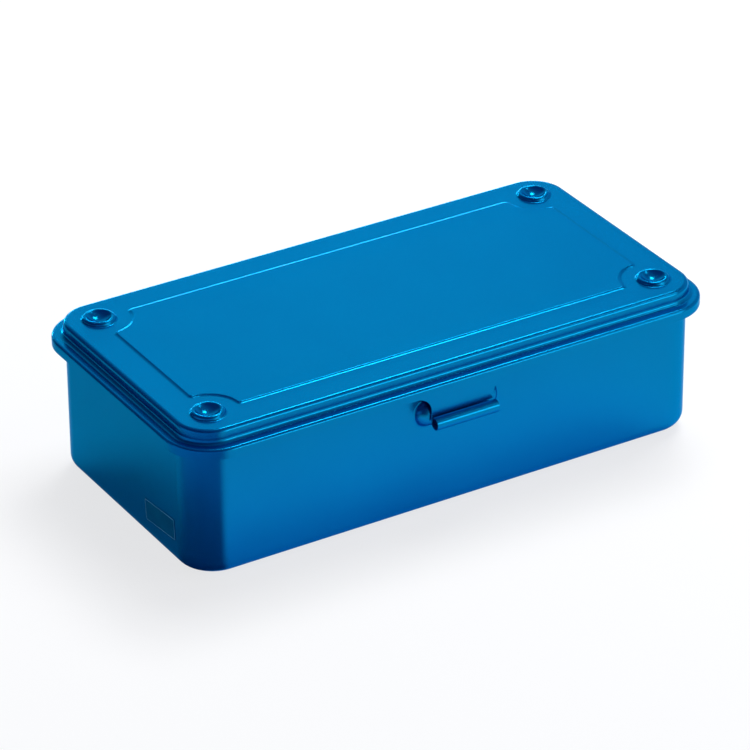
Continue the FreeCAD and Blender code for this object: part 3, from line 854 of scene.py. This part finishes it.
floor_size = 12
floor_paint, start = new_material("floor_paper")
seen, mirrored, passed = (
    start.node("ShaderNodeLightPath", output=f"Is {kind} Ray")
    for kind in ("Camera", "Glossy", "Transmission")
)
paper = start.node(
    "ShaderNodeBsdfPrincipled",
    None,
    {"Base Color": (0.92, 0.92, 0.92, 1), "Roughness": 0.9, "Specular IOR Level": 0.0},
)
place = start.node("ShaderNodeTexCoord", output=3)
floor_x, floor_y = (
    start.node("ShaderNodeSeparateXYZ", None, {"Vector": place}, axis) for axis in (0, 1)
)
# Painted reflection and shade: only mirrored and passing rays see these tints. Left of the end wall
# the floor is dark, which is painted shade in the end wall's reflection. Just before the front wall
# it is deep blue, which is a painted blue reflection low on that wall.
right_of_end = eased(start, floor_x, -0.12, -0.08, 0.0, 1.0)
before_front = (
    right_of_end
    * eased(start, floor_x, 0.06, 0.13, 1.0, 0.0)
    * eased(start, floor_y, -0.14, -0.06, 0.0, 1.0)
    * eased(start, floor_y, -0.05, -0.03, 1.0, 0.0)
)
painted_reflection_sides = mixed(start, right_of_end, (0.05, 0.2, 0.2, 1), (0.6, 0.8, 1.0, 1))
painted_reflection_tint = mixed(start, before_front, painted_reflection_sides, (0.3, 0.9, 1.75, 1))
tint = mixed(start, seen, painted_reflection_tint, (1.0, 1.0, 1.0, 1))
glow = start.node("ShaderNodeEmission", None, {"Color": tint, "Strength": 1.0})
own_light = seen * 0.75 + (mirrored + passed) * 0.35
lit = start.node("ShaderNodeMixShader", None, {0: own_light, 1: paper, 2: glow})
start.node("ShaderNodeOutputMaterial", None, {"Surface": lit})
bpy.ops.mesh.primitive_plane_add(size=floor_size)
floor = bpy.context.object
floor.name = "floor"
floor.data.materials.append(floor_paint)

camera_from_box = Vector((-0.66804, -1.10621, 0.74927))
camera_yaw = math.radians(31.075)
camera_dip = math.radians(29.263)
camera_roll = math.radians(-0.398)

# The room is pale from the floor up to the lamps, and darker overhead, behind the camera and at
# both sides, with a little blue dusk everywhere.
world = bpy.data.worlds.new("studio")
world.use_nodes = True
world.node_tree.nodes.clear()
start = Wire(world.node_tree)
toward = start.node("ShaderNodeTexCoord")
to_right, upward = (
    start.node("ShaderNodeSeparateXYZ", None, {"Vector": toward}, axis) for axis in (0, 2)
)
camera_way = (-math.sin(camera_yaw) * 0.72, -math.cos(camera_yaw) * 0.72, 0.69)
to_camera = start.node(
    "ShaderNodeVectorMath", {"operation": "DOT_PRODUCT"}, {0: toward, 1: camera_way}, 1
)
room_light = (
    eased(start, upward, 0.32, 0.8, 1.23, 0.2)
    * eased(start, to_camera, 0.68, 0.92, 1.0, 0.1)
    * eased(start, to_right, -0.4, 0.2, 0.04, 1.0)
    * eased(start, to_right, 0.36, 0.46, 0.8, 1.0)
    * eased(start, to_right, 0.44, 0.6, 1.0, 0.4)
)
room = start.node("ShaderNodeBackground", None, {"Color": (1, 1, 1, 1), "Strength": room_light})
dusk = start.node("ShaderNodeBackground", None, {"Color": (0.08, 0.35, 1, 1), "Strength": 0.12})
both = start.node("ShaderNodeAddShader", None, {0: room, 1: dusk})
start.node("ShaderNodeOutputWorld", None, {"Surface": both})
bpy.context.scene.world = world


def soft_lamp(name, toward, width, height, strength, distance=1.4):
    """A flat soft lamp in the given direction from the box, facing it."""
    data = bpy.data.lights.new(name, "AREA")
    data.shape = "RECTANGLE"
    data.size, data.size_y = width, height
    data.energy = strength
    lamp = bpy.data.objects.new(name, data)
    way = Vector(toward).normalized()
    lamp.location = way * distance
    lamp.rotation_mode = "QUATERNION"
    lamp.rotation_quaternion = way.to_track_quat("Z", "Y")
    bpy.context.scene.collection.objects.link(lamp)
    return lamp


soft_lamp("lamp_key", (0.43, 0.36, 0.82), 0.3, 0.36, 3.8)
over_floor = soft_lamp("lamp_over_floor", (0.36, 0.22, 0.9), 0.6, 0.6, 8.5, distance=1.0)
over_floor.visible_glossy = False
soft_lamp("lamp_front_right", (0.5, -0.78, 0.32), 0.7, 0.3, 2.2)
soft_lamp("lamp_front_high", (0.59, -0.38, 0.71), 0.25, 0.25, 0.9)
soft_lamp("lamp_behind", (0.4, 0.89, 0.13), 0.7, 0.16, 4.2)
soft_lamp("lamp_low_behind", (-0.06, 1.0, 0.06), 0.2, 0.06, 2.0)

# A dark screen bends round the near corner, thin at both ends. Only the paint mirrors it, so it is
# painted shade, seen only in reflection, that makes the near corner dark.
screen_middle = np.array((-0.085, -0.037))
screen_rows = ((0.008, 0.0004), (0.022, 0.0005), (0.075, 0.09))
screen_steps = 16
screen_turns = (132, 277.6)
corner_shade_paint, start = new_material("painted_corner_shade")
along = start.node("ShaderNodeAttribute", {"attribute_name": "along"}, output="Fac")
# The screen's colours are the painted shade that the corner reflects, palest at the screen's first
# end.
corner_shade_colour = start.node(
    "ShaderNodeValToRGB",
    {"stops": ((0.0, (0.3, 0.42, 0.6)), (0.5, (0.14, 0.25, 0.44)), (0.85, (0.11, 0.22, 0.4)))},
    {"Fac": along},
)
thin_ends = eased(start, along, 0.0, 0.3, 0.0, 1.0) * eased(start, along, 0.85, 1.0, 1.0, 0.0)
finish_material(
    start,
    {"Base Color": corner_shade_colour, "Roughness": 1.0, "Specular IOR Level": 0.0, "Alpha": thin_ends},
)
screen_points = [
    (*spot, level)
    for reach, level in screen_rows
    for spot, way in arc(screen_middle, reach, *screen_turns, screen_steps)
]
in_row = screen_steps + 1
screen_faces = [
    (i, i + 1, i + 1 + in_row, i + in_row)
    for i in range(len(screen_points) - in_row)
    if i % in_row < screen_steps
]
screen_mesh = bpy.data.meshes.new("dark_screen")
screen_mesh.from_pydata(screen_points, [], screen_faces)
screen_mesh.materials.append(corner_shade_paint)
shares = screen_mesh.attributes.new("along", "FLOAT", "POINT")
shares.data.foreach_set("value", [i % in_row / screen_steps for i in range(len(screen_points))])
screen = bpy.data.objects.new("dark_screen", screen_mesh)
bpy.context.scene.collection.objects.link(screen)
screen.visible_camera = False
screen.visible_shadow = False
screen.visible_diffuse = False

camera_data = bpy.data.cameras.new("camera")
camera_data.lens = 211.8
camera_data.sensor_width = 36
camera_data.clip_end = 50
camera = bpy.data.objects.new("camera", camera_data)
camera.matrix_world = (
    Matrix.Translation(camera_from_box + Vector((0, middle_y, bottom_z)) * MM)
    @ Matrix.Rotation(-camera_yaw, 4, "Z")
    @ Matrix.Rotation(math.pi / 2 - camera_dip, 4, "X")
    @ Matrix.Rotation(camera_roll, 4, "Z")
)
bpy.context.scene.collection.objects.link(camera)
bpy.context.scene.camera = camera
bpy.context.scene.view_settings.view_transform = "Standard"
